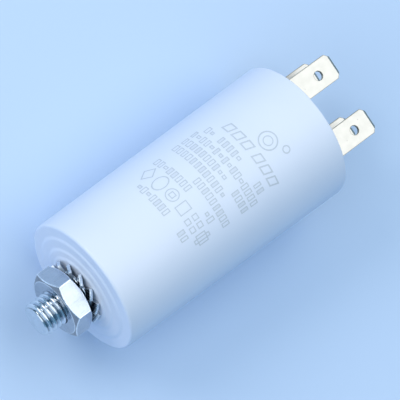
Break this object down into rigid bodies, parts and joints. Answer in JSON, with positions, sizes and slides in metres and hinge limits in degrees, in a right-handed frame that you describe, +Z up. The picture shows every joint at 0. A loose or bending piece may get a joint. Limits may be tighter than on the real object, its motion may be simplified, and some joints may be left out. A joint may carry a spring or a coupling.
{
  "type": "motor start capacitor",
  "caption": "Round white plastic capacitor with a threaded mounting stud, nut and toothed washer at one end and paired push-on blades at the other.",
  "frame": {"origin": "centre of the seat around the stud, where the stud leaves the base of the case", "axes": "+X along the case from the stud to the terminals; +Y along the row of terminals, from the right one to the left one; +Z up, square to the flats of the blades, with the case on its side"},
  "size_m": [0.0905, 0.0336, 0.0336],
  "materials": {
    "case_plastic": "satin moulded white plastic",
    "lid_plastic": "satin moulded white plastic",
    "stud_zinc": "bright blue-white zinc plate",
    "nut_zinc": "bright blue-white zinc plate",
    "washer_zinc": "bright zinc plate on spring steel",
    "tinned_terminal": "tin plated brass sheet, satin",
    "rivet_metal": "tin plated brass",
    "lug_metal": "tin plated brass",
    "lead_wire": "tinned copper wire",
    "sleeve_red": "red insulating sleeve",
    "sleeve_blue": "blue insulating sleeve",
    "solder": "satin solder",
    "film": "silvery metallised film",
    "core_plastic": "plain moulded plastic",
    "wrap_film": "clear yellowish wrap",
    "sprayed_metal": "rough sprayed zinc",
    "pressboard": "brown pressboard",
    "resin": "cast potting resin"
  },
  "bodies": {
    "root": {"case": "case_plastic", "stud": "stud_zinc", "lock_washer": "washer_zinc", "hex_nut": "nut_zinc", "lid": "lid_plastic", "terminal_left": "tinned_terminal", "terminal_right": "tinned_terminal", "rivet_left": "rivet_metal", "rivet_right": "rivet_metal", "solder_lug_left": "lug_metal", "solder_lug_right": "lug_metal", "long_lead": "lead_wire", "short_lead": "lead_wire", "long_lead_sleeve": "sleeve_red", "short_lead_sleeve": "sleeve_blue", "lug_joint_left": "solder", "lug_joint_right": "solder", "top_joint": "solder", "bottom_joint": "solder", "film_winding": "film", "winding_core": "core_plastic", "winding_wrap": "wrap_film", "end_spray_top": "sprayed_metal", "end_spray_bottom": "sprayed_metal", "insulating_disc": "pressboard", "potting_resin": "resin"}
  },
  "joints": []
}
